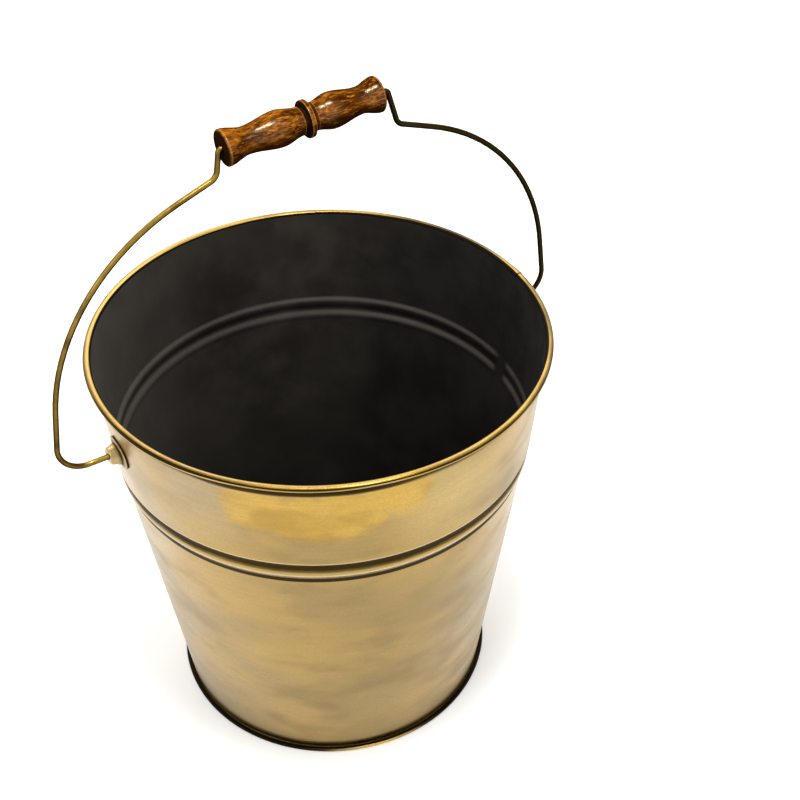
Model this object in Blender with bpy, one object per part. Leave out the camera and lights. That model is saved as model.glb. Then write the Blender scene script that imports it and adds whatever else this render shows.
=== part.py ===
"""A log bucket: a tapered sheet-metal wall with two rolled beads and a wired rim, a raised pan hemmed
over the wall's foot flange, two welded ears, and a wire bail that carries a turned wooden grip.
Metres, +Z up. The origin is the middle of the foot, and the ears lie along X."""

import math

import bpy
from mathutils import Vector

# Bucket
HEIGHT = 0.300
RIM_RADIUS = 0.1555
FOOT_RADIUS = 0.1155
HEM_REACH = 0.0040
SHEET = 0.0007
GAP = 0.0003
COLUMNS = 56

# Rolled rim and the hoop inside it
ROLL_RADIUS = 0.0026
ROLL_SWEEP = math.radians(300)
ROLL_STEPS = 8

# Beads: the lip is the upper edge of their band, in from the rim, and the waist under it is in from the lip
LIP_DEPTH = 0.07275
LIP_INSET = 0.0102
BEAD_SPAN = 0.02025
WAIST_INSET = 0.0038
BEAD_RISE = 0.0014
BEAD_FADE = 0.0095
BEAD_STEPS = 2
bead_shares = ((0.0, 1.0), (0.21, -0.29), (0.56, 1.0), (0.83, -0.21), (1.0, 0.0))

# Foot: the pan's floor, and the hem that folds over the wall's flange
FLOOR_HEIGHT = 0.0080
FLOOR_CORNER = 0.0012
COVE_RADIUS = 0.0015
CORNER_STEP = math.radians(36)

# Seam
SEAM_HALF_WIDTH = 0.0030
SEAM_RISE = 0.0010
SEAM_RAMP = 0.0006
SEAM_END_CLEAR = 0.0030
SEAM_EAR_CLEAR = 0.0008

# Ears
PIVOT_DROP = 0.0382
EAR_HALF_WIDTH = 0.0115
EAR_HALF_HEIGHT = 0.0105
EAR_SHEET = 0.0012
EAR_STANDOFF = 0.0080
EAR_FACE_RADIUS = 0.0056
EAR_BASE_RADIUS = 0.0077
EAR_CORNER_POWER = 2.6
EAR_SPOKES = 32

# Bail: places in its own plane, measured out from the middle and up from the pins
WIRE_RADIUS = 0.0018
PIN_CLEARANCE = 0.0004
PIN_HEAD_RADIUS = 0.0033
PIN_HEAD_LENGTH = 0.0015
LEG_STANDOFF = 0.0341
SHOULDER_INSET = 0.0191
SHOULDER_RISE = 0.1328
DIP_HALF_SPAN = 0.0622
DIP_DROP = 0.0208
PIN_BEND = 0.0180
SHOULDER_BEND = 0.1450
DIP_BEND = 0.0075
KINK_BEND = 0.0030
BEND_STEP = math.radians(15)
SHOULDER_STEP = math.radians(6)

# The wire's straight run through the grip, which slides down to the run's lower, left end
RUN_RISE = 0.1923
RUN_OFFSET = 0.0023
RUN_TILT = math.radians(3.4)

# Grip
GRIP_LENGTH = 0.1055
GRIP_PLAY = 0.0090
GRIP_SLIDE = 0.0022
GRIP_RADIUS = 0.0113
GRIP_BORE_CLEARANCE = 0.0005
GRIP_SIDES = 24
GRIP_STEPS = 3
GRIP_EDGE = 0.0010
COLLAR_OFFSET = 0.0028
COLLAR_RADIUS = 0.0116
COLLAR_LENGTH = 0.0035
COLLAR_GROOVE = 0.0017
COLLAR_EDGE = 0.0006
groove_radius_share = 0.67
body_shares = ((0.0, 1.0), (0.28, 0.75), (0.72, 0.985), (1.0, 0.77))

# Places that follow from the sizes above
ROLL_LINE_RADIUS = ROLL_RADIUS - SHEET / 2
ROLL_CENTRE = Vector((RIM_RADIUS - ROLL_RADIUS, HEIGHT - ROLL_RADIUS))
HOOP_RADIUS = ROLL_RADIUS - SHEET - GAP
LIP_RADIUS = RIM_RADIUS - LIP_INSET
LIP_HEIGHT = HEIGHT - LIP_DEPTH
WAIST_RADIUS = LIP_RADIUS - WAIST_INSET
WAIST_HEIGHT = LIP_HEIGHT - BEAD_SPAN
HEM_RADIUS = FOOT_RADIUS + HEM_REACH
PIVOT_HEIGHT = HEIGHT - PIVOT_DROP
FLANGE_HEIGHT = SHEET + GAP + SHEET / 2
FOLD_RADIUS = FLANGE_HEIGHT - SHEET / 2
HEM_HEIGHT = FLANGE_HEIGHT + FOLD_RADIUS + SHEET / 2
LOWER_SLOPE = (WAIST_RADIUS - FOOT_RADIUS) / WAIST_HEIGHT
LOWER_STRETCH = math.hypot(1, LOWER_SLOPE)

# The band between the lip and the roll, its middle line running up tangent to the roll's
LIP_LINE = Vector((LIP_RADIUS - SHEET / 2, LIP_HEIGHT))
TO_ROLL = ROLL_CENTRE - LIP_LINE
BAND_ANGLE = math.atan2(TO_ROLL.x, TO_ROLL.y) - math.asin(ROLL_LINE_RADIUS / TO_ROLL.length)
BAND_UP = Vector((math.sin(BAND_ANGLE), math.cos(BAND_ANGLE)))
BAND_OUT = Vector((BAND_UP.y, -BAND_UP.x))
BAND_LENGTH = math.sqrt(TO_ROLL.length_squared - ROLL_LINE_RADIUS**2)
EAR_FOOT = LIP_LINE + BAND_UP * (PIVOT_HEIGHT - LIP_HEIGHT) / BAND_UP.y + BAND_OUT * SHEET / 2

# The seam stands in front of the right ear, just clear of its plate
SEAM_ANGLE = -(EAR_HALF_WIDTH + SEAM_EAR_CLEAR + SEAM_RAMP + SEAM_HALF_WIDTH) / EAR_FOOT.x


def clear_scene():
    for old in list(bpy.data.objects):
        bpy.data.objects.remove(old)


def material(name, colour, roughness, metallic):
    made = bpy.data.materials.new(name)
    made.use_nodes = True
    shader = made.node_tree.nodes["Principled BSDF"]
    shader.inputs["Base Color"].default_value = (*colour, 1)
    shader.inputs["Roughness"].default_value = roughness
    shader.inputs["Metallic"].default_value = metallic
    return made


def add_object(name, data, materials):
    """The object, with its materials, linked to the scene."""
    for each in materials:
        data.materials.append(each)
    made = bpy.data.objects.new(name, data)
    bpy.context.scene.collection.objects.link(made)
    return made


def rounded(corners, radii, steps):
    """The line through the corners, its inner ones turned into arcs as large as the line has room for."""
    sides = [b - a for a, b in zip(corners, corners[1:])]
    turns = [0, *(a.angle(b) for a, b in zip(sides, sides[1:])), 0]
    reaches = [radius * math.tan(turn / 2) for radius, turn in zip([0, *radii, 0], turns)]
    room = [min(1, side.length / (a + b)) for side, a, b in zip(sides, reaches, reaches[1:])]
    points = [corners[0]]
    for i, step in enumerate(steps, start=1):
        back = -sides[i - 1].normalized()
        ahead = sides[i].normalized()
        reach = reaches[i] * min(room[i - 1], room[i])
        radius = reach / math.tan(turns[i] / 2)
        centre = corners[i] + (back + ahead).normalized() * math.hypot(radius, reach)
        start = corners[i] + back * reach - centre
        side = -back
        turn = turns[i]
        count = max(2, math.ceil(turn / step))
        for k in range(count + 1):
            angle = turn * k / count
            points.append(centre + start * math.cos(angle) + side * radius * math.sin(angle))
    points.append(corners[-1])
    return points


def eased(shares, place):
    """The second share at a place along the first, level at each point of the table."""
    for (start, low), (end, high) in zip(shares, shares[1:]):
        if place <= end:
            part = (place - start) / (end - start)
            return low + (high - low) * (1 - math.cos(math.pi * part)) / 2
    return shares[-1][1]


def spread(shares, steps):
    """Places along the table: its own points, and the given number of steps between each two."""
    places = [shares[0][0]]
    for (start, _), (end, _) in zip(shares, shares[1:]):
        places += [start + (end - start) * (k + 1) / steps for k in range(steps)]
    return places


def line_normals(line):
    """The left-hand normal at each point, lengthened at bends so that offset sheets keep their thickness."""
    normals = []
    for i in range(len(line)):
        before = (line[i] - line[max(i - 1, 0)]).normalized()
        after = (line[min(i + 1, len(line) - 1)] - line[i]).normalized()
        along = (before + after).normalized()
        normals.append(Vector((-along.y, along.x)) / max(along.dot(before), along.dot(after)))
    return normals


def sheet_outline(line, rises):
    """A closed outline round a sheet's middle line: up its right side and back down its left side."""
    normals = line_normals(line)
    right = [p - n * (SHEET / 2 + rise) for p, n, rise in zip(line, normals, rises)]
    left = [p + n * SHEET / 2 for p, n in zip(line, normals)]
    return right + left[::-1]


def turned(radius, height, angle):
    return Vector((radius * math.cos(angle), radius * math.sin(angle), height))


def mesh_from_rings(name, rings, closed, slots=None):
    """Faces between each ring of points and the next. An open run of rings gets a flat cap at each end."""
    count = len(rings[0])
    points = [point for ring in rings for point in ring]
    faces = []
    for i in range(len(rings) if closed else len(rings) - 1):
        low = i * count
        high = (i + 1) % len(rings) * count
        for j in range(count):
            k = (j + 1) % count
            faces.append((low + j, low + k, high + k, high + j))
    if not closed:
        faces.append(tuple(range(count))[::-1])
        faces.append(tuple(range(len(points) - count, len(points))))
    mesh = bpy.data.meshes.new(name)
    mesh.from_pydata(points, [], faces)
    if slots:
        for face in mesh.polygons:
            face.material_index = slots[face.index // count]
    mesh.shade_smooth()
    mesh.set_sharp_from_angle(angle=math.radians(35))
    mesh.update()
    return mesh


def wall_radius(height):
    """Outer radius of the plain lower wall."""
    return FOOT_RADIUS + LOWER_SLOPE * height


def column_plan():
    """(angle, seam share, bead share) of each column: even steps, broken by the seam's own columns."""
    edge = (SEAM_HALF_WIDTH + SEAM_RAMP) / EAR_FOOT.x
    strip = SEAM_HALF_WIDTH / EAR_FOOT.x
    fade = max(BEAD_FADE / EAR_FOOT.x, 2 * edge)
    seam = [(-strip, 1, 0), (strip, 1, 0), (-edge, 0, 0), (edge, 0, 0)]
    for side in (-1, 1):
        seam += [(side * (edge + fade) / 2, 0, 0.5), (side * fade, 0, 1)]
    step = math.tau / COLUMNS
    columns = [(SEAM_ANGLE + offset, *shares) for offset, *shares in seam]
    for k in range(COLUMNS):
        away = (k * step - SEAM_ANGLE + math.pi) % math.tau - math.pi
        if abs(away) > fade + step / 8:
            columns.append((SEAM_ANGLE + away, 0, 1))
    return sorted(columns)


def foot_line():
    """The wall's middle line from its flange, through the cove, to the lower wall."""
    flange_end = Vector((HEM_RADIUS - SHEET - GAP, FLANGE_HEIGHT))
    middle_shift = LOWER_STRETCH * SHEET / 2
    corner = Vector((wall_radius(FLANGE_HEIGHT) - middle_shift, FLANGE_HEIGHT))
    waist = Vector((WAIST_RADIUS - middle_shift, WAIST_HEIGHT))
    return rounded([flange_end, corner, waist], [COVE_RADIUS], [CORNER_STEP])


def wall_line(bead_share):
    """The wall's middle line from foot to rim, and the seam strip's share at each point."""
    foot = foot_line()
    line = foot[:-1]
    seam = [0] * len(line)
    for rise, share in ((SEAM_END_CLEAR, 0), (SEAM_END_CLEAR + SEAM_RISE, 1)):
        height = HEM_HEIGHT + rise
        line.append(Vector((wall_radius(height) - LOWER_STRETCH * SHEET / 2, height)))
        seam.append(share)
    waist = foot[-1]
    straight_rise = LIP_RADIUS - wall_radius(LIP_HEIGHT)
    for place in reversed(spread(bead_shares, BEAD_STEPS)):
        height = LIP_HEIGHT - BEAD_SPAN * place
        plain = waist.x + (wall_radius(height) - WAIST_RADIUS)
        curved = BEAD_RISE * eased(bead_shares, place)
        curved += (straight_rise - BEAD_RISE) * max(0, 1 - place / bead_shares[1][0])
        flat = straight_rise * (1 - place)
        line.append(Vector((plain + flat + (curved - flat) * bead_share, height)))
        seam.append(1)
    for back, share in ((SEAM_END_CLEAR + SEAM_RISE, 1), (SEAM_END_CLEAR, 0)):
        line.append(LIP_LINE + BAND_UP * (BAND_LENGTH - back))
        seam.append(share)
    start = math.pi - BAND_ANGLE
    for k in range(ROLL_STEPS + 1):
        angle = start - ROLL_SWEEP * k / ROLL_STEPS
        line.append(ROLL_CENTRE + Vector((math.cos(angle), math.sin(angle))) * ROLL_LINE_RADIUS)
        seam.append(0)
    return line, seam


def make_wall(brass, black):
    outlines = []
    for angle, seam_share, bead_share in COLUMN_PLAN:
        line, seam = wall_line(bead_share)
        rises = [SEAM_RISE * seam_share * share for share in seam]
        outlines.append([turned(p.x, p.y, angle) for p in sheet_outline(line, rises)])
    rings = list(zip(*outlines))
    inside_start = len(rings) // 2 + ROLL_STEPS + 1
    slots = [int(inside_start <= i < len(rings) - 1) for i in range(len(rings))]
    return add_object("body_wall", mesh_from_rings("body_wall", rings, True, slots), [brass, black])


def make_hoop(steel):
    start = math.pi - BAND_ANGLE
    rings = []
    for k in range(ROLL_STEPS):
        angle = start + ROLL_SWEEP * k / ROLL_STEPS
        point = ROLL_CENTRE + Vector((math.cos(angle), math.sin(angle))) * HOOP_RADIUS
        rings.append([turned(point.x, point.y, column[0]) for column in COLUMN_PLAN])
    return add_object("rim_wire", mesh_from_rings("rim_wire", rings, True), [steel])


def make_pan(brass, black):
    """The floor, its skirt inside the wall, the foot sheet, and the hem folded over the wall's flange."""
    nest = LOWER_STRETCH * (SHEET * 3 / 2 + GAP)
    floor_height = FLOOR_HEIGHT - SHEET / 2
    fold_centre = Vector((HEM_RADIUS - SHEET / 2 - FOLD_RADIUS, FLANGE_HEIGHT))
    corners = [
        Vector((FOOT_RADIUS - FLOOR_CORNER * 4, floor_height)),
        Vector((wall_radius(floor_height) - nest, floor_height)),
        Vector((wall_radius(SHEET / 2) - nest, SHEET / 2)),
        Vector((fold_centre.x, SHEET / 2)),
    ]
    line = rounded(corners, [FLOOR_CORNER, FLOOR_CORNER], [CORNER_STEP] * 2)
    fold_steps = math.ceil(math.pi / CORNER_STEP)
    for k in range(1, fold_steps + 1):
        angle = math.pi * k / fold_steps - math.pi / 2
        line.append(fold_centre + Vector((math.cos(angle), math.sin(angle))) * FOLD_RADIUS)
    line.append(Vector((foot_line()[1].x, line[-1].y)))
    outline = sheet_outline(line, [0] * len(line))
    rings = [[turned(p.x, p.y, column[0]) for column in COLUMN_PLAN] for p in outline]
    mesh = mesh_from_rings("base_pan", rings, False)
    for face in mesh.polygons:
        face.material_index = int(face.center.z > HEM_HEIGHT)
    return add_object("base_pan", mesh, [brass, black])


def on_band(side, across, up, out):
    """A point by the wall's upper band: across and up its outer face from the pivot, and out from it."""
    place = EAR_FOOT + BAND_UP * up + BAND_OUT * out
    return turned(side * place.x, place.y, side * across / EAR_FOOT.x)


def on_face(side, across, up, out):
    """A point of the ear's upright face, square to the pin."""
    return Vector((side * (EAR_FOOT.x + EAR_STANDOFF + out), across, PIVOT_HEIGHT + up))


def make_ear(name, side, brass):
    """A pressed plate that follows the wall, with a pocket for the headed pin in its middle."""
    inset = EAR_SHEET * math.tan(math.pi / 8) * 2
    hole = WIRE_RADIUS + PIN_CLEARANCE
    rings = []
    layers = (
        (on_face, hole, -EAR_SHEET),
        (on_face, EAR_FACE_RADIUS - inset, -EAR_SHEET),
        (on_band, EAR_BASE_RADIUS - inset, GAP),
        (on_band, None, GAP),
        (on_band, None, GAP + EAR_SHEET),
        (on_band, EAR_BASE_RADIUS, GAP + EAR_SHEET),
        (on_face, EAR_FACE_RADIUS, 0),
        (on_face, hole, 0),
    )
    for place, radius, out in layers:
        ring = []
        for k in range(EAR_SPOKES):
            angle = side * math.tau * k / EAR_SPOKES
            across, up = math.cos(angle), math.sin(angle)
            reach = radius
            if reach is None:
                reach = abs(across / EAR_HALF_WIDTH) ** EAR_CORNER_POWER
                reach += abs(up / EAR_HALF_HEIGHT) ** EAR_CORNER_POWER
                reach = reach ** (-1 / EAR_CORNER_POWER)
            ring.append(place(side, reach * across, reach * up, out))
        rings.append(ring)
    return add_object(name, mesh_from_rings(name, rings, True), [brass])


def turned_rings(outline, sides):
    """Rings round Z for an outline of (radius, height) points."""
    angles = [math.tau * k / sides for k in range(sides)]
    return [[turned(radius, height, angle) for angle in angles] for radius, height in outline]


def on_run(distance):
    """A place in the bail's plane on the wire's straight run, at a distance right of its middle."""
    along = Vector((math.cos(RUN_TILT), math.sin(RUN_TILT)))
    return Vector((-RUN_OFFSET, RUN_RISE)) + along * distance


def bail_line():
    """The wire's middle line from the right pin's head over the grip to the left pin's head."""
    half_span = RIM_RADIUS + LEG_STANDOFF
    pin_end = EAR_FOOT.x + EAR_STANDOFF - EAR_SHEET - GAP
    corners = []
    for side in (1, -1):
        half = [
            Vector((side * pin_end, 0)),
            Vector((side * half_span, 0)),
            Vector((side * (half_span - SHOULDER_INSET), SHOULDER_RISE)),
            Vector((side * DIP_HALF_SPAN, RUN_RISE - DIP_DROP)),
            on_run(side * (GRIP_LENGTH + GRIP_PLAY) / 2),
        ]
        corners += half[::side]
    bends = [PIN_BEND, SHOULDER_BEND, DIP_BEND, KINK_BEND]
    steps = [BEND_STEP, SHOULDER_STEP, BEND_STEP, BEND_STEP]
    return rounded(corners, bends + bends[::-1], steps + steps[::-1])


def make_bail(wire_brass):
    """The wire with its two upset pin heads, its origin on the pins' axis."""
    line = bail_line()
    widths = [1] * len(line)
    head = PIN_HEAD_RADIUS / WIRE_RADIUS
    inwards = (line[0] - line[1]).normalized()
    step = inwards * PIN_HEAD_LENGTH / 8
    heads = [(line[0] + step, head), (line[0] + inwards * PIN_HEAD_LENGTH, head)]
    mirrored = [(Vector((-place.x, place.y)), width) for place, width in heads]
    run = heads[::-1] + list(zip(line, widths)) + mirrored
    curve = bpy.data.curves.new("bail_wire", "CURVE")
    curve.dimensions = "3D"
    curve.bevel_depth = WIRE_RADIUS
    curve.bevel_resolution = 3
    curve.use_fill_caps = True
    spline = curve.splines.new("POLY")
    spline.points.add(len(run) - 1)
    for point, (place, width) in zip(spline.points, run):
        point.co = (place.x, 0, place.y, 1)
        point.radius = width
    spline.use_smooth = True
    bail = add_object("bail_wire", curve, [wire_brass])
    bail.location = (0, 0, PIVOT_HEIGHT)
    return bail


def grip_side(length):
    """The grip's outline from an end face to its collar, as (radius, distance from the collar) points."""
    body_end = COLLAR_LENGTH / 2 + COLLAR_GROOVE
    body_start = length - GRIP_EDGE
    points = [(GRIP_RADIUS - GRIP_EDGE, length), (GRIP_RADIUS, body_start)]
    for place in spread(body_shares, GRIP_STEPS)[1:]:
        radius = GRIP_RADIUS * eased(body_shares, place)
        points.append((radius, body_start + (body_end - body_start) * place))
    groove = GRIP_RADIUS * groove_radius_share
    collar = COLLAR_LENGTH / 2
    points += [
        (groove, body_end),
        (groove, collar),
        (COLLAR_RADIUS - COLLAR_EDGE, collar),
        (COLLAR_RADIUS, collar - COLLAR_EDGE),
    ]
    return points


def make_grip(wood, bail):
    """The turned grip, its collar nearer to the right end, loose on the wire's straight run."""
    right = grip_side(GRIP_LENGTH / 2 - COLLAR_OFFSET)
    left = [(radius, -place) for radius, place in grip_side(GRIP_LENGTH / 2 + COLLAR_OFFSET)]
    bore = WIRE_RADIUS + GRIP_BORE_CLEARANCE
    outline = right + left[::-1] + [(bore, left[0][1]), (bore, right[0][1])]
    mesh = mesh_from_rings("grip", turned_rings(outline[::-1], GRIP_SIDES), True)
    grip = add_object("grip", mesh, [wood])
    middle = on_run(COLLAR_OFFSET - GRIP_SLIDE)
    grip.parent = bail
    grip.location = (middle.x, 0, middle.y)
    grip.rotation_euler = (0, math.pi / 2 - RUN_TILT, 0)
    return grip


clear_scene()
COLUMN_PLAN = column_plan()

aged_brass = material("aged_brass", (0.52, 0.36, 0.13), 0.35, 1.0)
black_paint = material("black_paint", (0.010, 0.010, 0.009), 0.60, 0.0)
bare_steel = material("bare_steel", (0.45, 0.44, 0.42), 0.45, 1.0)
wire_finish = material("wire_finish", (0.26, 0.18, 0.07), 0.40, 1.0)
lacquered_wood = material("lacquered_wood", (0.21, 0.07, 0.022), 0.30, 0.0)

make_wall(aged_brass, black_paint)
make_hoop(bare_steel)
make_pan(aged_brass, black_paint)
make_ear("ear_right", 1, aged_brass)
make_ear("ear_left", -1, aged_brass)
make_grip(lacquered_wood, make_bail(wire_finish))
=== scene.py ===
"""The looks of a log bucket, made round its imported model. Metres, +Z up, as in the model."""

import math

import bpy
from mathutils import Matrix, Vector


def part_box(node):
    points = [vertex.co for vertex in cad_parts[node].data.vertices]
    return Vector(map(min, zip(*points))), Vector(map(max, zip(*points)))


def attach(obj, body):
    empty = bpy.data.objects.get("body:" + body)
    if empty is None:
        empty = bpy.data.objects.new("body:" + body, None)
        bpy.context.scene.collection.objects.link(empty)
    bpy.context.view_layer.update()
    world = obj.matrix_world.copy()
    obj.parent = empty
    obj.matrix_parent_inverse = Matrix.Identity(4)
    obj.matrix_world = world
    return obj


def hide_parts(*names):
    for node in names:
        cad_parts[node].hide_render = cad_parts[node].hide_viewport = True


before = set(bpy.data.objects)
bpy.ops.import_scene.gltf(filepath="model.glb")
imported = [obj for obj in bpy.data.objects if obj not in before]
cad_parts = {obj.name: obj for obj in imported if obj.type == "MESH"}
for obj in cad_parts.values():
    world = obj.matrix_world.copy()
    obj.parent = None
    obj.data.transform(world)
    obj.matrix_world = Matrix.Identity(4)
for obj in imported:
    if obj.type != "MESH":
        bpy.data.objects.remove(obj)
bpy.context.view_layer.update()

wall_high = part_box("body_wall")[1]
pan_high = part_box("base_pan")[1]

# Camera: where the photograph was taken from
CAMERA_PLACE = Vector((-0.32805, -0.61745, 0.80947))
CAMERA_RIGHT = Vector((0.843472, -0.537167, -0.002760))
CAMERA_UP = Vector((0.341982, 0.533012, 0.773917))
CAMERA_LENS = 58.32

# Studio: the floor, its own light near the bucket and where that fades to white, and the lamps' names,
# places, sizes and powers
FLOOR_SIZE = 30.0
FLOOR_COLOUR = 0.80
FLOOR_GLOW = 0.30
FLOOR_FADE_START = 0.8
FLOOR_FADE_END = 2.5
WORLD_STRENGTH = 0.50
LAMP_TARGET = Vector((0, 0, 0.2))
LAMPS = (
    ("key", (-0.10, -0.32, 1.75), (0.23, 0.23), 17),
    ("back", (0.2, 1.2, 1.5), (2.4, 1.4), 22),
    ("left", (-1.5, -0.1, 1.2), (1.0, 1.0), 7),
    ("right", (1.2, 0.2, 1.5), (0.8, 0.8), 5),
)

# Bucket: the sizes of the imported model. BEAD_SHARES has places down from the lip and the rise there.
HEIGHT = wall_high.z
RIM_RADIUS = wall_high.x
FOOT_RADIUS = 0.1155
HEM_RADIUS = pan_high.x
SHEET = 0.0007
GAP = 0.0003
FLOOR_HEIGHT = pan_high.z
FLOOR_CORNER = 0.0012
FLOOR_SHARES = (0.02, 0.25, 0.5, 0.75, 0.95)
ROLL_RADIUS = 0.0026
LIP_DEPTH = 0.07275
LIP_INSET = 0.0102
BEAD_SPAN = 0.02025
WAIST_INSET = 0.0038
BEAD_RISE = 0.0014
BEAD_FADE = 0.0095
BEAD_SHARES = ((0.0, 1.0), (0.21, -0.29), (0.56, 1.0), (0.83, -0.21), (1.0, 0.0))
LIP_EDGE = 0.0008
COVE_RADIUS = 0.0015

# Fineness of the turned pieces, and how much closer the rows lie towards the foot, the rim and the raw edge.
# Shading breaks at SHARP_ANGLE. BEVEL_MIDDLE is how far the middle of a rounded edge is set in, as a share of
# the edge.
COLUMNS = 360
BAND_ROWS = 18
BEAD_ROWS = 10
WALL_ROWS = 32
ROLL_ROWS = 34
PAINTED_ROWS = 8
ARC_STEPS = 8
FOOT_CROWDING = 1.2
RIM_CROWDING = 1.6
EDGE_CROWDING = 1.4
SHARP_ANGLE = math.radians(50)
BEVEL_MIDDLE = 0.3

# Seam, and the joint that it makes in the rolled rim
SEAM_ANGLE = math.radians(-5.8)
SEAM_HALF_WIDTH = 0.0028
SEAM_RISE = 0.0009
SEAM_RAMP = 0.0007
SEAM_STEPS = 4
SEAM_END_CLEAR = 0.0035
NOTCH_WIDTH = 0.0010
NOTCH_DEPTH = 0.0012
NOTCH_STEPS = 4
LAP_RISE = 0.0004
LAP_LENGTH = 0.0150

# Curl of the rim, in angles round the roll from its outermost line: the paint's edge inside, the worn gold's
# limit, below which the curl's underside is darkened as patina and painted shade, and the wavy raw edge under
# it.
# PAINT_SHIFTS has places round the bucket, their reach to each side and how far the paint's edge is shifted
# there, in degrees.
PAINT_EDGE = math.radians(132)
PAINT_SHIFTS = ((12, 34, -20), (-38, 34, -26), (90, 45, 20))
GOLD_EDGE = math.radians(50)
GOLD_RISE = math.radians(16)
GOLD_RISE_ANGLE = math.radians(-160)
GOLD_RISE_SPREAD = math.radians(32)
RAW_EDGE = math.radians(6)
RAW_FALL = math.radians(8)
EDGE_WAVE = math.radians(4)
EDGE_CREST = math.radians(-102)
EDGE_WAVES = 9
CREASE_BACK = math.radians(24)
CREASE_SPREAD = math.radians(18)
CREASE_DEPTH = 0.0004

# Patina, with painted shade and painted highlight in the same mark: 1 is dark, 0 plain and below 0 bright, as
# wear and as painted highlight. The bead tables, outside and inside, have places down from the lip: outside,
# patina in the grooves and painted highlight on the lip and the rib; inside, painted highlight on the ridges,
# with a little painted shade between. The arcs of the rim have places round it, their reach to each side in
# degrees, and how dark the painted shade on the roll is there.
BEAD_PATINA_AND_HIGHLIGHT = (
    (0.0, -0.7), (0.03, -0.4), (0.07, 1.3), (0.26, 1.15), (0.41, 0.6), (0.53, -0.2),
    (0.64, -1.0), (0.75, 0.0), (0.83, 1.2), (0.93, 1.2), (1.0, 0.0),
)
BEAD_INNER_LIGHT_AND_SHADE = ((0.0, 0.0), (0.12, -0.28), (0.26, 0.0), (0.5, 0.1), (0.68, -0.48), (0.92, 0.0), (1.0, 0.0))
FRONT_ANGLE = math.radians(-124)
FRONT_HALF = math.radians(8)
FRONT_END = math.radians(30)
# The band under the rim is darkened as patina and painted shade, reaching furthest down in front
UNDER_RIM_DARK_REACH = 0.0050
UNDER_RIM_DARK_FRONT = 0.0020
RIM_PATINA_AND_SHADE = 1.35
UNDER_RIM_DARK_FADE = 0.0026
DARK_FADE_ANGLE = math.radians(8)
LINE_RISE = math.radians(6)
LINE_SPREAD = math.radians(10)
LINE_WEAR = 0.7
RAW_LINE_DARK_START = math.radians(10)
RAW_LINE_DARK_END = math.radians(14)
# The roll's outer part is darkened as painted shade, half as much where a painted highlight falls in front
ROLL_SHADE = 0.55
ROLL_SHADE_START = math.radians(122)
ROLL_HIGHLIGHT_ANGLE = math.radians(-105)
ROLL_HIGHLIGHT_SPREAD = math.radians(14)
ROLL_SHADE_ARCS = ((22, 55, 0.65), (66, 34, 0.5), (95, 40, 0.2), (-22, 40, 0.5))
COVE_STAIN = 1.0
HEM_STAIN = 1.6
HEM_WEAR = 0.1
# A painted highlight on the hem's outer edge in front
HEM_HIGHLIGHT = 0.7
HEM_HIGHLIGHT_ANGLE = math.radians(-105)
HEM_HIGHLIGHT_SPREAD = math.radians(30)

# Ears. EAR_FLANK has the pocket's side, from the plate to the face, and its patina, and WELD_RINGS a weld's
# rings, from its edge to its top, and their patina.
PIVOT_DROP = 0.0382
EAR_HALF_WIDTH = 0.0115
EAR_HALF_HEIGHT = 0.0105
EAR_SHEET = 0.0012
EAR_STANDOFF = 0.0080
EAR_FACE_RADIUS = 0.0056
EAR_BASE_RADIUS = 0.0077
EAR_EDGE = 0.0003
EAR_CORNER_POWER = 2.6
EAR_SPOKES = 96
EAR_FLANK = ((0.06, 0.9), (0.16, 0.5), (0.5, 0), (0.84, 0), (0.94, 0))
WELD_PLACE = 0.0094
WELD_RADIUS = 0.0013
WELD_RISE = 0.0003
WELD_SPOKES = 24
WELD_RINGS = ((1.0, 0.7), (0.85, 0.5), (0.6, 0.2), (0.3, 0), (0.05, 0))

# Bail. PIN_HEAD_SHAPE has places along a pin's head and how much of its width it has there.
WIRE_RADIUS = 0.0018
WIRE_ROUNDNESS = 8
PIN_CLEARANCE = 0.0004
PIN_HEAD_RADIUS = 0.0033
PIN_HEAD_LENGTH = 0.0015
PIN_HEAD_SHAPE = ((0.1, 0.8), (0.25, 1), (0.75, 1), (0.95, 0.75), (1, 0.5))
LEG_STANDOFF = 0.0339
SHOULDER_INSET = 0.0191
SHOULDER_RISE = 0.1328
DIP_HALF_SPAN = 0.0622
DIP_DROP = 0.0208
PIN_BEND = 0.0180
SHOULDER_BEND = 0.1450
DIP_BEND = 0.0075
KINK_BEND = 0.0030
BEND_STEP = math.radians(3)
RUN_RISE = 0.1923
RUN_OFFSET = 0.0023
RUN_TILT = math.radians(3.4)

# Grip. BODY_SHARES has places from an end towards the collar and the radius there.
GRIP_LENGTH = 0.1055
GRIP_PLAY = 0.0090
GRIP_SLIDE = 0.0022
GRIP_RADIUS = 0.0113
GRIP_BORE_CLEARANCE = 0.0005
GRIP_EDGE = 0.0012
GRIP_SIDES = 96
GRIP_STEPS = 14
BODY_SHARES = ((0.0, 1.0), (0.28, 0.75), (0.72, 0.985), (1.0, 0.77))
COLLAR_OFFSET = 0.0028
COLLAR_RADIUS = 0.0116
COLLAR_LENGTH = 0.0030
COLLAR_GROOVE = 0.0019
COLLAR_EDGE = 0.0005
COLLAR_MARK = 0.3
STEP_LENGTH = 0.0011
STEP_DROP = 0.0008
GROOVE_RADIUS_SHARE = 0.67

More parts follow.
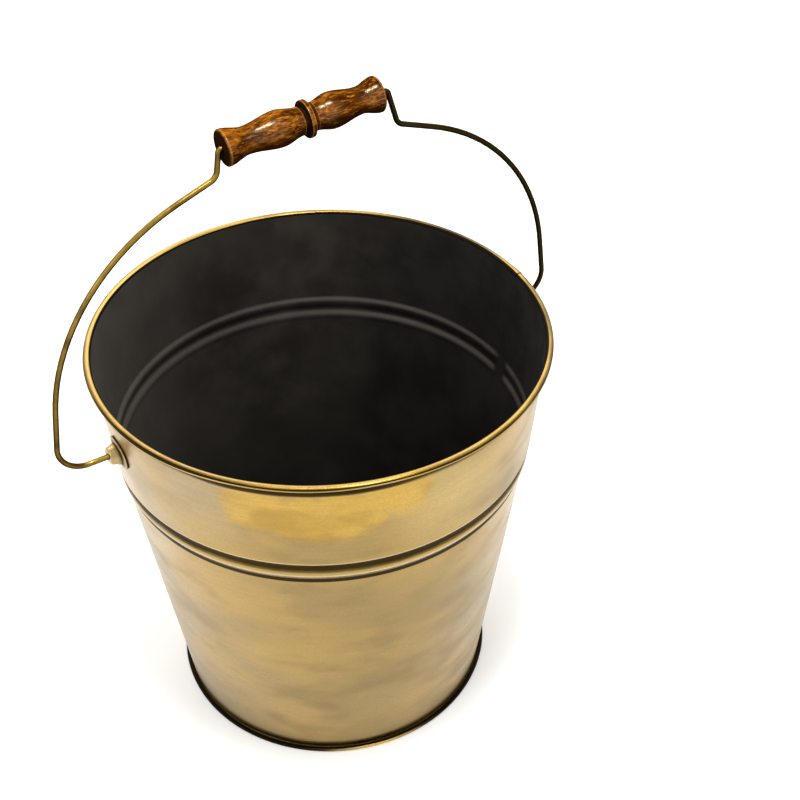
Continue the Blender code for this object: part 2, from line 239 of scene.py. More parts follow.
# Places that follow from the sizes above
ROLL_LINE_RADIUS = ROLL_RADIUS - SHEET / 2
ROLL_CENTRE = Vector((RIM_RADIUS - ROLL_RADIUS, HEIGHT - ROLL_RADIUS))
LIP_RADIUS = RIM_RADIUS - LIP_INSET
LIP_HEIGHT = HEIGHT - LIP_DEPTH
WAIST_RADIUS = LIP_RADIUS - WAIST_INSET
WAIST_HEIGHT = LIP_HEIGHT - BEAD_SPAN
PIVOT_HEIGHT = HEIGHT - PIVOT_DROP
FLANGE_HEIGHT = SHEET * 3 / 2 + GAP
HEM_HEIGHT = SHEET * 3 + GAP * 2
LOWER_SLOPE = (WAIST_RADIUS - FOOT_RADIUS) / WAIST_HEIGHT
LOWER_STRETCH = math.hypot(1, LOWER_SLOPE)
LIP_LINE = Vector((LIP_RADIUS - SHEET / 2, LIP_HEIGHT))
TO_ROLL = ROLL_CENTRE - LIP_LINE
BAND_ANGLE = math.atan2(TO_ROLL.x, TO_ROLL.y) - math.asin(ROLL_LINE_RADIUS / TO_ROLL.length)
BAND_UP = Vector((math.sin(BAND_ANGLE), math.cos(BAND_ANGLE)))
BAND_OUT = Vector((BAND_UP.y, -BAND_UP.x))
BAND_LENGTH = math.sqrt(TO_ROLL.length_squared - ROLL_LINE_RADIUS**2)
EAR_FOOT = LIP_LINE + BAND_UP * (PIVOT_HEIGHT - LIP_HEIGHT) / BAND_UP.y + BAND_OUT * SHEET / 2


def turned(radius, height, angle):
    """A point at an angle round the bucket's axis."""
    return Vector((radius * math.cos(angle), radius * math.sin(angle), height))


# Patches of the brass, each a place and its reach: on the band worn golden, a pale painted reflection at the
# far left and tan at the right, on the hem a painted highlight in front, and on the lower wall smears
# darkened in places and a side darkened, both as painted shade
GOLDEN_PLACES = (
    (turned(LIP_RADIUS, 0.270, math.radians(-124)), 0.038),
    (turned(LIP_RADIUS, 0.276, math.radians(-113)), 0.046),
    (turned(LIP_RADIUS, 0.284, math.radians(-101)), 0.036),
    (turned(LIP_RADIUS, 0.276, math.radians(-135)), 0.036),
    (turned(LIP_RADIUS, 0.268, math.radians(-117.5)), 0.030),
)
PALE_REFLECTION_PLACES = (
    (turned(LIP_RADIUS, 0.278, math.radians(-150)), 0.062),
    (turned(LIP_RADIUS, 0.240, math.radians(-172)), 0.070),
)
TAN_PLACE = (turned(LIP_RADIUS, 0.266, math.radians(-88)), 0.060)
HEM_HIGHLIGHT_PLACE = (turned(HEM_RADIUS, 0, HEM_HIGHLIGHT_ANGLE), 0.120)
SHADED_SMEAR_PLACES = (
    (turned(0.1300, 0.110, math.radians(-106)), 0.055),
    (turned(0.1280, 0.105, math.radians(-83)), 0.070),
    (turned(0.1250, 0.055, math.radians(-122)), 0.030),
    (turned(LIP_RADIUS, 0.238, math.radians(-127)), 0.026),
)
SHADED_SIDE = (turned(0.135, 0.125, math.radians(-88)), 0.125)

# The rim's top is more golden than the wall: the heights where that starts and where it is full
RIM_GOLD_START = HEIGHT - ROLL_RADIUS * 2.2
RIM_GOLD_END = HEIGHT - ROLL_RADIUS * 1.6

# The side towards which the handle's wire keeps its worn gold, as painted highlight, with painted shade away
# from it, and the grip's lit upper side, away from which the grip is darkened as painted shade
WIRE_LIT_SIDE = (0, -0.6, 0.8)
GRIP_LIT_SIDE = (0, -0.3, 0.954)

# Colours of the brass, and the weight of its clear coat
OLIVE_BRASS = (0.350, 0.241, 0.085)
WARM_BRASS = (0.446, 0.289, 0.085)
SMEAR = (0.222, 0.160, 0.063)
SHADED_BRASS = (0.25, 0.178, 0.062)
PALE_REFLECTION_BRASS = (0.43, 0.335, 0.195)
TAN_BRASS = (0.56, 0.405, 0.155)
GILT = (0.64, 0.390, 0.062)
DEEP_GILT = (0.48, 0.287, 0.036)
BRUSH_MARK = (0.22, 0.16, 0.078)
FINE_GRAIN = (0.15, 0.11, 0.050)
RIM_GOLD = (0.52, 0.315, 0.050)
WORN_AND_HIGHLIGHT_BRASS = (0.80, 0.62, 0.32)
HEM_HIGHLIGHT_GOLD = (0.80, 0.52, 0.075)
PATINA_AND_SHADE = (0.038, 0.023, 0.004)
DEEP_PATINA_AND_SHADE = (0.007, 0.005, 0.002)
BRASS_COAT = 0.12

# Colours of the paint, with painted light towards the left and painted shade towards the right, and of its
# shine
DARK_PAINT = (0.0188, 0.0166, 0.0139)
PAINT = (0.0350, 0.0312, 0.0262)
PAINT_HAZE = (0.037, 0.0335, 0.028)
PAINT_LIT_LEFT = (0.076, 0.069, 0.058)
PAINT_SHADED_RIGHT = (0.005, 0.0045, 0.004)
PAINT_BEAD_HIGHLIGHT = (0.065, 0.058, 0.048)
STAINED_PAINT = (0.006, 0.0045, 0.003)
PAINT_SHINE = (1.0, 0.90, 0.78, 1)

# Colours of the wire and of its shine
DARK_WIRE = (0.020, 0.014, 0.004)
WIRE_WORN_AND_LIT_GOLD = (0.35, 0.215, 0.034)
WIRE_SHINE = (0.10, 0.08, 0.05, 1)

# Colours of the wood and of its lacquer's shine
DARK_WOOD = (0.068, 0.018, 0.001)
WOOD = (0.330, 0.100, 0.007)
DARK_STREAK = (0.026, 0.007, 0.0005)
LIGHT_STREAK = (0.62, 0.250, 0.035)
PORE = (0.014, 0.004, 0.001)
GRIP_UNDERSIDE_SHADE = (0.020, 0.006, 0.001)
WOOD_STAIN = (0.014, 0.006, 0.002)
WOOD_EDGE_HIGHLIGHT = (0.48, 0.21, 0.040)
LACQUER_SHINE = (1.0, 0.74, 0.48, 1)

# Colours of the hidden steel
DARK_STEEL = (0.16, 0.14, 0.11)
STEEL = (0.30, 0.27, 0.22)


def step(low, high, value):
    """0 at low, 1 at high, and smooth between. Low may lie above high."""
    part = min(1, max(0, (value - low) / (high - low)))
    return part * part * (3 - 2 * part)


def hump(middle, spread, value):
    """1 at the middle, falling smoothly to 0 at the spread on each side."""
    return 1 - step(0, spread, abs(value - middle))


def eased(shares, place):
    """The second share at a place along the first, level at each point of the table."""
    for (start, low), (end, high) in zip(shares, shares[1:]):
        if place <= end:
            part = (place - start) / (end - start)
            return low + (high - low) * (1 - math.cos(math.pi * part)) / 2
    return shares[-1][1]


def spread(shares, steps):
    """Places along a table: its own points, and the given number of steps between each two."""
    places = [shares[0][0]]
    for (start, _), (end, _) in zip(shares, shares[1:]):
        places += [start + (end - start) * (k + 1) / steps for k in range(steps)]
    return places


def turn_away(angle, middle):
    """The angle from the middle, between half a turn back and half a turn on."""
    return (angle - middle + math.pi) % math.tau - math.pi


def front_share(angle):
    """1 in front, where the patina and painted shade under the rim are widest, and 0 away from there."""
    return 1 - step(FRONT_HALF, FRONT_END, abs(turn_away(angle, FRONT_ANGLE)))


def arc_share(angle, place, reach):
    """1 at a place round the bucket, falling smoothly to 0 at the reach from it, both in degrees."""
    return hump(0, math.radians(reach), turn_away(angle, math.radians(place)))


def arc(centre, radius, start, end):
    """Points along an arc from one angle to another."""
    angles = [start + (end - start) * k / ARC_STEPS for k in range(ARC_STEPS + 1)]
    return [centre + Vector((math.cos(angle), math.sin(angle))) * radius for angle in angles]


def offset_line(line, distances):
    """The line with each point moved to its left by its distance."""
    moved = []
    for i, point in enumerate(line):
        before = (point - line[max(i - 1, 0)]).normalized()
        after = (line[min(i + 1, len(line) - 1)] - point).normalized()
        along = (before + after).normalized()
        stretch = max(along.dot(before), along.dot(after))
        moved.append(point + Vector((-along.y, along.x)) * distances[i] / stretch)
    return moved


def rounded(corners, radii):
    """The line through the corners, its inner ones turned into arcs as large as the line has room for."""
    sides = [b - a for a, b in zip(corners, corners[1:])]
    turns = [0, *(a.angle(b) for a, b in zip(sides, sides[1:])), 0]
    reaches = [radius * math.tan(turn / 2) for radius, turn in zip([0, *radii, 0], turns)]
    room = [min(1, side.length / (a + b)) for side, a, b in zip(sides, reaches, reaches[1:])]
    points = [corners[0]]
    for i in range(1, len(corners) - 1):
        back = -sides[i - 1].normalized()
        ahead = sides[i].normalized()
        reach = reaches[i] * min(room[i - 1], room[i])
        radius = reach / math.tan(turns[i] / 2)
        centre = corners[i] + (back + ahead).normalized() * math.hypot(radius, reach)
        start = corners[i] + back * reach - centre
        count = max(2, math.ceil(turns[i] / BEND_STEP))
        for k in range(count + 1):
            angle = turns[i] * k / count
            points.append(centre + start * math.cos(angle) - back * radius * math.sin(angle))
    points.append(corners[-1])
    return points


def wall_radius(height):
    """Outer radius of the plain lower wall."""
    return FOOT_RADIUS + LOWER_SLOPE * height


def add_object(name, data, materials, slot, *nodes):
    """The object, with its materials, in place of the model's nodes. Its slot is not used."""
    for each in materials:
        data.materials.append(each)
    made = bpy.data.objects.new(name, data)
    bpy.context.scene.collection.objects.link(made)
    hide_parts(*nodes)
    return made


def skin(name, sections, slots, marks, capped=False):
    """A mesh over closed rings of points that follow each other, or over open ones closed by two caps."""
    count = len(sections[0])
    points = [point for section in sections for point in section]
    faces = []
    for i in range(len(sections)):
        here = i * count
        there = (i + 1) % len(sections) * count
        for j in range(count - 1 if capped else count):
            k = (j + 1) % count
            faces.append((here + j, there + j, there + k, here + k))
    picks = [slots[face[0] % count] for face in faces]
    if capped:
        starts = range(0, len(points), count)
        faces.append(tuple(starts)[::-1])
        faces.append(tuple(start + count - 1 for start in starts))
        picks += [slots[0], slots[-1]]
    mesh = bpy.data.meshes.new(name)
    mesh.from_pydata(points, [], faces)
    mesh.polygons.foreach_set("material_index", picks)
    # The mark holds patina and wear, and also painted shade and painted highlight
    layer = mesh.attributes.new("patina", "FLOAT", "POINT")
    layer.data.foreach_set("value", [value for section in marks for value in section])
    mesh.shade_smooth()
    mesh.set_sharp_from_angle(angle=SHARP_ANGLE)
    mesh.update()
    return mesh


def column_angles():
    """Even steps round the bucket, with closer ones across the seam and the joint in the rim."""
    half = SEAM_HALF_WIDTH / WAIST_RADIUS
    ramp = SEAM_RAMP / WAIST_RADIUS
    notch = NOTCH_WIDTH / RIM_RADIUS
    angles = []
    for side in (-1, 1):
        angles += [SEAM_ANGLE + side * (half + ramp * k / SEAM_STEPS) for k in range(SEAM_STEPS + 1)]
    angles += [SEAM_ANGLE - half + notch * (k + 1) / NOTCH_STEPS for k in range(NOTCH_STEPS)]
    for k in range(COLUMNS):
        away = turn_away(k * math.tau / COLUMNS, SEAM_ANGLE)
        if abs(away) > half + ramp * 2:
            angles.append(SEAM_ANGLE + away)
    return sorted(angles)


def seam_distance(angle):
    """How far from the seam's middle an angle lies, along the wall."""
    return abs(turn_away(angle, SEAM_ANGLE)) * WAIST_RADIUS


def seam_share(angle):
    """1 on the seam's strip and 0 beside it."""
    return 1 - step(SEAM_HALF_WIDTH, SEAM_HALF_WIDTH + SEAM_RAMP, seam_distance(angle))


def bead_share(angle):
    """0 on the seam's strip, where the beads are pressed flat, and 1 away from it."""
    return step(SEAM_HALF_WIDTH, BEAD_FADE, seam_distance(angle))


def joint_shares(angle):
    """How deep the cut across the roll is at an angle, and how far the lapped roll beside it is raised."""
    away = turn_away(angle, SEAM_ANGLE - SEAM_HALF_WIDTH / WAIST_RADIUS) * RIM_RADIUS
    cut = hump(NOTCH_WIDTH / 2, NOTCH_WIDTH / 2, away)
    lap = step(0, NOTCH_WIDTH, away) * (1 - step(NOTCH_WIDTH, LAP_LENGTH, away))
    return cut, lap


def foot_points():
    """The wall's middle line through its flange and cove, and the patina, which fades up the cove."""
    corner_radius = wall_radius(FLANGE_HEIGHT) - LOWER_STRETCH * SHEET / 2
    lean = math.atan(LOWER_SLOPE)
    sweep = math.pi / 2 - lean
    reach = COVE_RADIUS / math.tan((math.pi - sweep) / 2)
    flange_end = Vector((HEM_RADIUS - SHEET - GAP, FLANGE_HEIGHT))
    centre = Vector((corner_radius + reach, FLANGE_HEIGHT + COVE_RADIUS))
    line = [flange_end] + arc(centre, COVE_RADIUS, math.pi * 3 / 2, math.pi - lean)
    return line, [COVE_STAIN] + [COVE_STAIN * (1 - k / ARC_STEPS) for k in range(ARC_STEPS + 1)]


def lower_points(line):
    """Adds the plain lower wall, and gives the share of the seam's rise at each point."""
    low = line[-1].y
    rises = []
    for k in range(1, WALL_ROWS):
        height = low + (WAIST_HEIGHT - low) * (k / WALL_ROWS) ** FOOT_CROWDING
        line.append(Vector((wall_radius(height) - LOWER_STRETCH * SHEET / 2, height)))
        rises.append(step(HEM_HEIGHT, HEM_HEIGHT + SEAM_END_CLEAR, height))
    return rises


def bead_points(line, share):
    """Adds the beads, faded to a straight line where their share is 0, and gives their patina and painted
    highlight outside and their painted highlight and shade inside.
    """
    straight_rise = LIP_RADIUS - wall_radius(LIP_HEIGHT)
    stains, inner_light_and_shade = [], []
    for place in reversed(spread(BEAD_SHARES, BEAD_ROWS)):
        height = LIP_HEIGHT - BEAD_SPAN * place
        curved = BEAD_RISE * eased(BEAD_SHARES, place)
        curved += (straight_rise - BEAD_RISE) * max(0, 1 - place / BEAD_SHARES[1][0])
        flat = straight_rise * (1 - place)
        plain = wall_radius(height) - LOWER_STRETCH * SHEET / 2
        line.append(Vector((plain + flat + (curved - flat) * share, height)))
        # Patina in the grooves, and painted highlight on the lip and the rib
        stains.append(share * eased(BEAD_PATINA_AND_HIGHLIGHT, place))
        # Painted highlight on the ridges inside, with a little painted shade between
        inner_light_and_shade.append(share * eased(BEAD_INNER_LIGHT_AND_SHADE, place))
    return stains, inner_light_and_shade


def band_points(line, front):
    """Adds the band under the rim, and gives its patina, with painted shade under the rim, and the share of
    the seam's rise.
    """
    stain = UNDER_RIM_DARK_REACH + UNDER_RIM_DARK_FRONT * front
    stains, rises = [], []
    ups = [LIP_EDGE / 2, LIP_EDGE, LIP_EDGE * 2]
    ups += [BAND_LENGTH * (1 - (1 - k / BAND_ROWS) ** RIM_CROWDING) for k in range(1, BAND_ROWS + 1)]
    for up in ups:
        line.append(LIP_LINE + BAND_UP * up)
        # Patina and painted shade under the rim
        stains.append(RIM_PATINA_AND_SHADE * step(BAND_LENGTH - stain - UNDER_RIM_DARK_FADE, BAND_LENGTH - stain, up))
        rises.append(1 - step(BAND_LENGTH - SEAM_END_CLEAR, BAND_LENGTH, up))
    return stains, rises


def roll_points(line, angle):
    """Adds the rolled rim, creased before its raw edge, and gives its patina, wear, painted shade and painted
    highlight.
    """
    cut, lap = joint_shares(angle)
    wave = EDGE_WAVE * math.cos(EDGE_WAVES * (angle - EDGE_CREST))
    left = hump(0, GOLD_RISE_SPREAD, turn_away(angle, GOLD_RISE_ANGLE))
    start = math.pi - BAND_ANGLE
    middle = PAINT_EDGE - wave / 4
    for place, reach, shift in PAINT_SHIFTS:
        middle += math.radians(shift) * arc_share(angle, place, reach)
    gold_end = GOLD_EDGE + GOLD_RISE * left + wave / 2
    end = RAW_EDGE - RAW_FALL * left + wave
    bare = ROLL_ROWS - PAINTED_ROWS
    arounds = [start + (middle - start) * (k + 1) / PAINTED_ROWS for k in range(PAINTED_ROWS)]
    arounds += [middle + (end - middle) * (1 - (1 - (k + 1) / bare) ** EDGE_CROWDING) for k in range(bare)]
    # Painted highlight on the roll in front, and painted shade in arcs round its far side
    glow = hump(0, ROLL_HIGHLIGHT_SPREAD, turn_away(angle, ROLL_HIGHLIGHT_ANGLE))
    shade_here = max(dark * arc_share(angle, place, reach) for place, reach, dark in ROLL_SHADE_ARCS)
    stains = []
    for around in arounds:
        crease = hump(end + CREASE_BACK, CREASE_SPREAD, around)
        radius = ROLL_LINE_RADIUS - CREASE_DEPTH * crease + LAP_RISE * lap - NOTCH_DEPTH * cut
        line.append(ROLL_CENTRE + Vector((math.cos(around), math.sin(around))) * radius)
        # The curl's underside, darkened as patina and painted shade from the gold's limit down to near the
        # raw edge
        stain = step(gold_end, gold_end - DARK_FADE_ANGLE, around)
        stain *= step(end + RAW_LINE_DARK_START, end + RAW_LINE_DARK_END, around)
        worn = hump(end + LINE_RISE, LINE_SPREAD, around) * LINE_WEAR
        painted = step(middle - DARK_FADE_ANGLE, middle, around)
        # Painted shade on the roll's outer part
        dull = max(shade_here, ROLL_SHADE * (1 - glow / 2) * step(ROLL_SHADE_START, gold_end, around))
        stains.append(max(RIM_PATINA_AND_SHADE * stain, cut, dull, painted) - worn)
    return stains


def wall_section(angle):
    """The wall sheet's closed outline at an angle, with the patina, wear, painted shade and painted highlight
    at each point, and each point's slot.
    """
    line, foot_stains = foot_points()
    low_rises = lower_points(line)
    low_stains = [0] * len(low_rises)
    bead_patina_and_highlight, bead_inner_light_and_shade = bead_points(line, bead_share(angle))
    band_patina_and_shade, band_rises = band_points(line, front_share(angle))
    roll_marks = roll_points(line, angle)
    seam = SEAM_RISE * seam_share(angle)
    rises = [0] * len(foot_stains) + low_rises + [1] * len(bead_patina_and_highlight) + band_rises + [0] * ROLL_ROWS
    outside = offset_line(line, [-SHEET / 2 - seam * rise for rise in rises])
    inside = offset_line(line, [SHEET / 2] * len(line))
    outline = [turned(p.x, p.y, angle) for p in outside + inside[::-1]]
    outer_marks = foot_stains + low_stains + bead_patina_and_highlight + band_patina_and_shade + [1] * ROLL_ROWS
    inner_marks = [0] * len(foot_stains) + low_stains + bead_inner_light_and_shade + [0] * len(band_patina_and_shade) + roll_marks
    bare = ROLL_ROWS - PAINTED_ROWS
    slots = [0] * (len(line) + bare) + [1] * (len(line) - bare)
    return outline, outer_marks + inner_marks[::-1], slots


def make_wall(brass, paint):
    """One sheet: flange, lower wall, beads, band and rolled rim, brass outside and painted inside."""
    made = [wall_section(angle) for angle in column_angles()]
    mesh = skin("wall", [section[0] for section in made], made[0][2], [section[1] for section in made])
    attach(add_object("wall", mesh, [brass, paint], "aged_brass", "body_wall"), "bucket")


def make_pan(brass, paint):
    """The raised floor, its skirt, the foot sheet, and the hem folded over the wall's flange."""
    nest = LOWER_STRETCH * (SHEET * 3 / 2 + GAP)
    floor_line = FLOOR_HEIGHT - SHEET / 2
    fold_radius = SHEET + GAP
    fold_centre = Vector((HEM_RADIUS - SHEET / 2 - fold_radius, FLANGE_HEIGHT))
    skirt_top = wall_radius(floor_line) - nest
    skirt_foot = wall_radius(SHEET / 2) - nest
    line = [Vector((skirt_top * share, floor_line)) for share in FLOOR_SHARES]
    line += arc(Vector((skirt_top - FLOOR_CORNER, floor_line - FLOOR_CORNER)), FLOOR_CORNER, math.pi / 2, 0)
    foot_centre = Vector((skirt_foot + FLOOR_CORNER, SHEET / 2 + FLOOR_CORNER))
    line += arc(foot_centre, FLOOR_CORNER, math.pi, math.pi * 3 / 2)
    line += arc(fold_centre, fold_radius, -math.pi / 2, math.pi / 2)
    line.append(Vector((wall_radius(FLANGE_HEIGHT) + COVE_RADIUS * 2 / 3, line[-1].y)))
    outline = offset_line(line, [-SHEET / 2] * len(line)) + offset_line(line, [SHEET / 2] * len(line))[::-1]
    painted = len(outline) - len(FLOOR_SHARES) - ARC_STEPS // 2
    slots = [int(j >= painted) for j in range(len(outline))]
    sections, stains = [], []
    for angle in column_angles():
        sections.append([turned(p.x, p.y, angle) for p in outline])
        # Painted highlight on the hem's outer edge in front, added to its wear below
        glow = hump(0, HEM_HIGHLIGHT_SPREAD, turn_away(angle, HEM_HIGHLIGHT_ANGLE))
        marks = []
        for point in outline:
            outward = step(HEM_RADIUS - SHEET * 2, HEM_RADIUS - SHEET / 2, point.x)
            stain = HEM_STAIN * step(FOOT_RADIUS, FOOT_RADIUS + COVE_RADIUS / 2, point.x)
            worn = outward * (HEM_WEAR + (HEM_STAIN + HEM_HIGHLIGHT) * glow)
            marks.append(max(COVE_STAIN, stain) - worn)
        stains.append(marks)
    mesh = skin("pan", sections, slots, stains, capped=True)
    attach(add_object("pan", mesh, [brass, paint], "aged_brass", "base_pan"), "bucket")


def on_band(side, across, up, out):
    """A point by the wall's upper band: across and up its outer face from the pivot, and out from it."""
    place = EAR_FOOT + BAND_UP * up + BAND_OUT * out
    return turned(side * place.x, place.y, side * across / EAR_FOOT.x)


def on_face(side, across, up, out):
    """A point of the ear's upright face, square to the pin."""
    return Vector((side * (EAR_FOOT.x + EAR_STANDOFF + out), across, PIVOT_HEIGHT + up))


def ear_layers():
    """The ear's rings from its hole round the back and the plate's edge to its face: a place (radius, out) on
    the band, another on the face, the share of the second, and the patina."""
    inset = EAR_SHEET * math.tan(math.pi / 8) * 2
    hole = WIRE_RADIUS + PIN_CLEARANCE
    top = GAP + EAR_SHEET
    bevel = EAR_EDGE * BEVEL_MIDDLE
    base = (EAR_BASE_RADIUS, top)
    face = (EAR_FACE_RADIUS, 0)
    return [
        (None, (hole, -EAR_SHEET), 1, 1),
        (None, (EAR_FACE_RADIUS - inset, -EAR_SHEET), 1, 1),
        ((EAR_BASE_RADIUS - inset, GAP), None, 0, 1),
        ((-EAR_EDGE, GAP), None, 0, 1),
        ((0, GAP + EAR_EDGE), None, 0, 0.6),
        ((0, top - EAR_EDGE), None, 0, 0.2),
        ((-bevel, top - bevel), None, 0, 0),
        ((-EAR_EDGE, top), None, 0, 0),
        ((EAR_BASE_RADIUS + EAR_EDGE * 2, top), None, 0, 0.8),
        *((base, face, share, mark) for share, mark in EAR_FLANK),
        (None, (EAR_FACE_RADIUS - EAR_EDGE * 2, 0), 1, 0),
        (None, (hole + EAR_EDGE, 0), 1, 0.3),
        (None, (hole, -EAR_EDGE), 1, 1),
    ]


def ear_reach(radius, across, up):
    """A ring's radius in a direction. A radius of 0 or less is counted from the plate's edge."""
    if radius > 0:
        return radius
    plate = abs(across / EAR_HALF_WIDTH) ** EAR_CORNER_POWER + abs(up / EAR_HALF_HEIGHT) ** EAR_CORNER_POWER
    return plate ** (-1 / EAR_CORNER_POWER) + radius


def weld_section(side, place, angle):
    """A weld's low dome, from its edge to its top, on the ear's plate."""
    points = []
    for share, _ in WELD_RINGS:
        across = place + WELD_RADIUS * share * math.cos(angle)
        up = WELD_RADIUS * share * math.sin(angle)
        rise = WELD_RISE * math.sqrt(1 - share * share) if share < 1 else -EAR_EDGE
        points.append(on_band(side, across, up, GAP + EAR_SHEET + rise))
    return points


def make_ear(name, side, brass, node):
    """A pressed plate that follows the wall, with a pocket for the headed pin in its middle."""
    layers = ear_layers()
    angles = [side * math.tau * k / EAR_SPOKES for k in range(EAR_SPOKES)]
    sections = []
    for angle in angles:
        across, up = math.cos(angle), math.sin(angle)
        section = []
        for band, face, share, _ in layers:
            ends = []
            for place, spot in ((on_band, band), (on_face, face)):
                if spot:
                    reach = ear_reach(spot[0], across, up)
                    ends.append(place(side, reach * across, reach * up, spot[1]))
            section.append(ends[0].lerp(ends[-1], share))
        sections.append(section)
    marks = [mark for _, _, _, mark in layers]
    mesh = skin(name, sections, [0] * len(marks), [marks] * len(sections))
    made = add_object(name, mesh, [brass], "aged_brass", node)
    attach(made, "bucket")
    marks = [mark for _, mark in WELD_RINGS]
    for end, place in (("_weld_front", -WELD_PLACE), ("_weld_back", WELD_PLACE)):
        dome = [weld_section(side, place, -angle) for angle in angles[:: EAR_SPOKES // WELD_SPOKES]]
        mesh = skin(name + "_weld", dome, [0] * len(marks), [marks] * len(dome), capped=True)
        weld = add_object(name + end, mesh, [brass], "aged_brass")
        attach(weld, "bucket")


def on_run(distance):
    """A place in the bail's plane on the wire's straight run, at a distance right of its middle."""
    along = Vector((math.cos(RUN_TILT), math.sin(RUN_TILT)))
    return Vector((-RUN_OFFSET, RUN_RISE)) + along * distance


def bail_line():
    """The wire's middle line from the right pin's head over the grip to the left pin's head."""
    half_span = LEG_STANDOFF + RIM_RADIUS
    pin_end = EAR_FOOT.x + EAR_STANDOFF - EAR_SHEET - GAP
    corners = []
    for side in (1, -1):
        half = [
            Vector((side * pin_end, 0)),
            Vector((side * half_span, 0)),
            Vector((side * (half_span - SHOULDER_INSET), SHOULDER_RISE)),
            Vector((side * DIP_HALF_SPAN, RUN_RISE - DIP_DROP)),
            on_run(side * (GRIP_LENGTH + GRIP_PLAY) / 2),
        ]
        corners += half[::side]
    bends = [PIN_BEND, SHOULDER_BEND, DIP_BEND, KINK_BEND]
    return rounded(corners, bends + bends[::-1])


def make_bail(wire):
    """The wire with its two upset pin heads."""
    line = bail_line()
    inwards = (line[0] - line[1]).normalized()
    head = PIN_HEAD_RADIUS / WIRE_RADIUS
    heads = [
        (line[0] + inwards * PIN_HEAD_LENGTH * share, 1 + (head - 1) * size)
        for share, size in PIN_HEAD_SHAPE
    ]
    mirrored = [(Vector((-place.x, place.y)), width) for place, width in heads]
    run = heads[::-1] + [(place, 1) for place in line] + mirrored
    curve = bpy.data.curves.new("bail", "CURVE")
    curve.dimensions = "3D"
    curve.bevel_depth = WIRE_RADIUS
    curve.bevel_resolution = WIRE_ROUNDNESS
    curve.use_fill_caps = True
    spline = curve.splines.new("POLY")
    spline.points.add(len(run) - 1)
    for point, (place, width) in zip(spline.points, run):
        point.co = (place.x, 0, place.y, 1)
        point.radius = width
    spline.use_smooth = True
    made = add_object("bail", curve, [wire], "wire_finish", "bail_wire")
    made.location = (0, 0, PIVOT_HEIGHT)
    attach(made, "bail")


def grip_side(length):
    """Half the grip's outline, from its end face to its collar: radius, distance from the middle, and the
    mark, stain above 0 and painted edge highlight below 0.
    """
    collar = COLLAR_LENGTH / 2
    bevel = COLLAR_EDGE * BEVEL_MIDDLE
    groove = GRIP_RADIUS * GROOVE_RADIUS_SHARE
    body_end = collar + COLLAR_GROOVE
    body_start = length - GRIP_EDGE
    points = []
    for k in range(ARC_STEPS + 1):
        angle = math.pi / 2 * k / ARC_STEPS
        edge = GRIP_RADIUS - GRIP_EDGE + GRIP_EDGE * math.sin(angle)
        points.append((edge, body_start + GRIP_EDGE * math.cos(angle), -k / ARC_STEPS if k else 1))
    for place in spread(BODY_SHARES, GRIP_STEPS)[1:]:
        radius = GRIP_RADIUS * eased(BODY_SHARES, place)
        points.append((radius, body_start + (body_end + STEP_LENGTH - body_start) * place, 0))
    end_radius = points[-1][0]
    points[-1] = (*points[-1][:2], -1)
    points += [
        (end_radius - STEP_DROP, body_end + STEP_LENGTH, 0.3),
        (end_radius - STEP_DROP, body_end, 0.8),
        (groove, body_end, 1),
        (groove, collar, 1),
        (COLLAR_RADIUS - COLLAR_EDGE, collar, 0.8),
        (COLLAR_RADIUS - bevel, collar - bevel, -1),
        (COLLAR_RADIUS, collar - COLLAR_EDGE, -0.8),
    ]
    return points


def make_grip(wood):
    """The turned grip, its collar nearer to the right end, on the wire's straight run."""
    right = grip_side(GRIP_LENGTH / 2 - COLLAR_OFFSET)
    left = [(radius, -place, mark) for radius, place, mark in grip_side(GRIP_LENGTH / 2 + COLLAR_OFFSET)]
    bore = WIRE_RADIUS + GRIP_BORE_CLEARANCE
    outline = right + [(COLLAR_RADIUS, 0, COLLAR_MARK)] + left[::-1]
    outline += [(bore, left[0][1], 1), (bore, right[0][1], 1)]
    angles = [math.tau * k / GRIP_SIDES for k in range(GRIP_SIDES)]
    sections = [[turned(radius, place, angle) for radius, place, _ in outline[::-1]] for angle in angles]
    marks = [mark for _, _, mark in outline[::-1]]
    mesh = skin("grip", sections, [0] * len(outline), [marks] * GRIP_SIDES)
    mesh.transform(Matrix.Rotation(math.pi / 2 - RUN_TILT, 4, "Y"))
    made = add_object("handle_grip", mesh, [wood], "lacquered_wood", "grip")
    middle = on_run(COLLAR_OFFSET - GRIP_SLIDE)
    made.location = (middle.x, 0, PIVOT_HEIGHT + middle.y)
    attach(made, "grip")


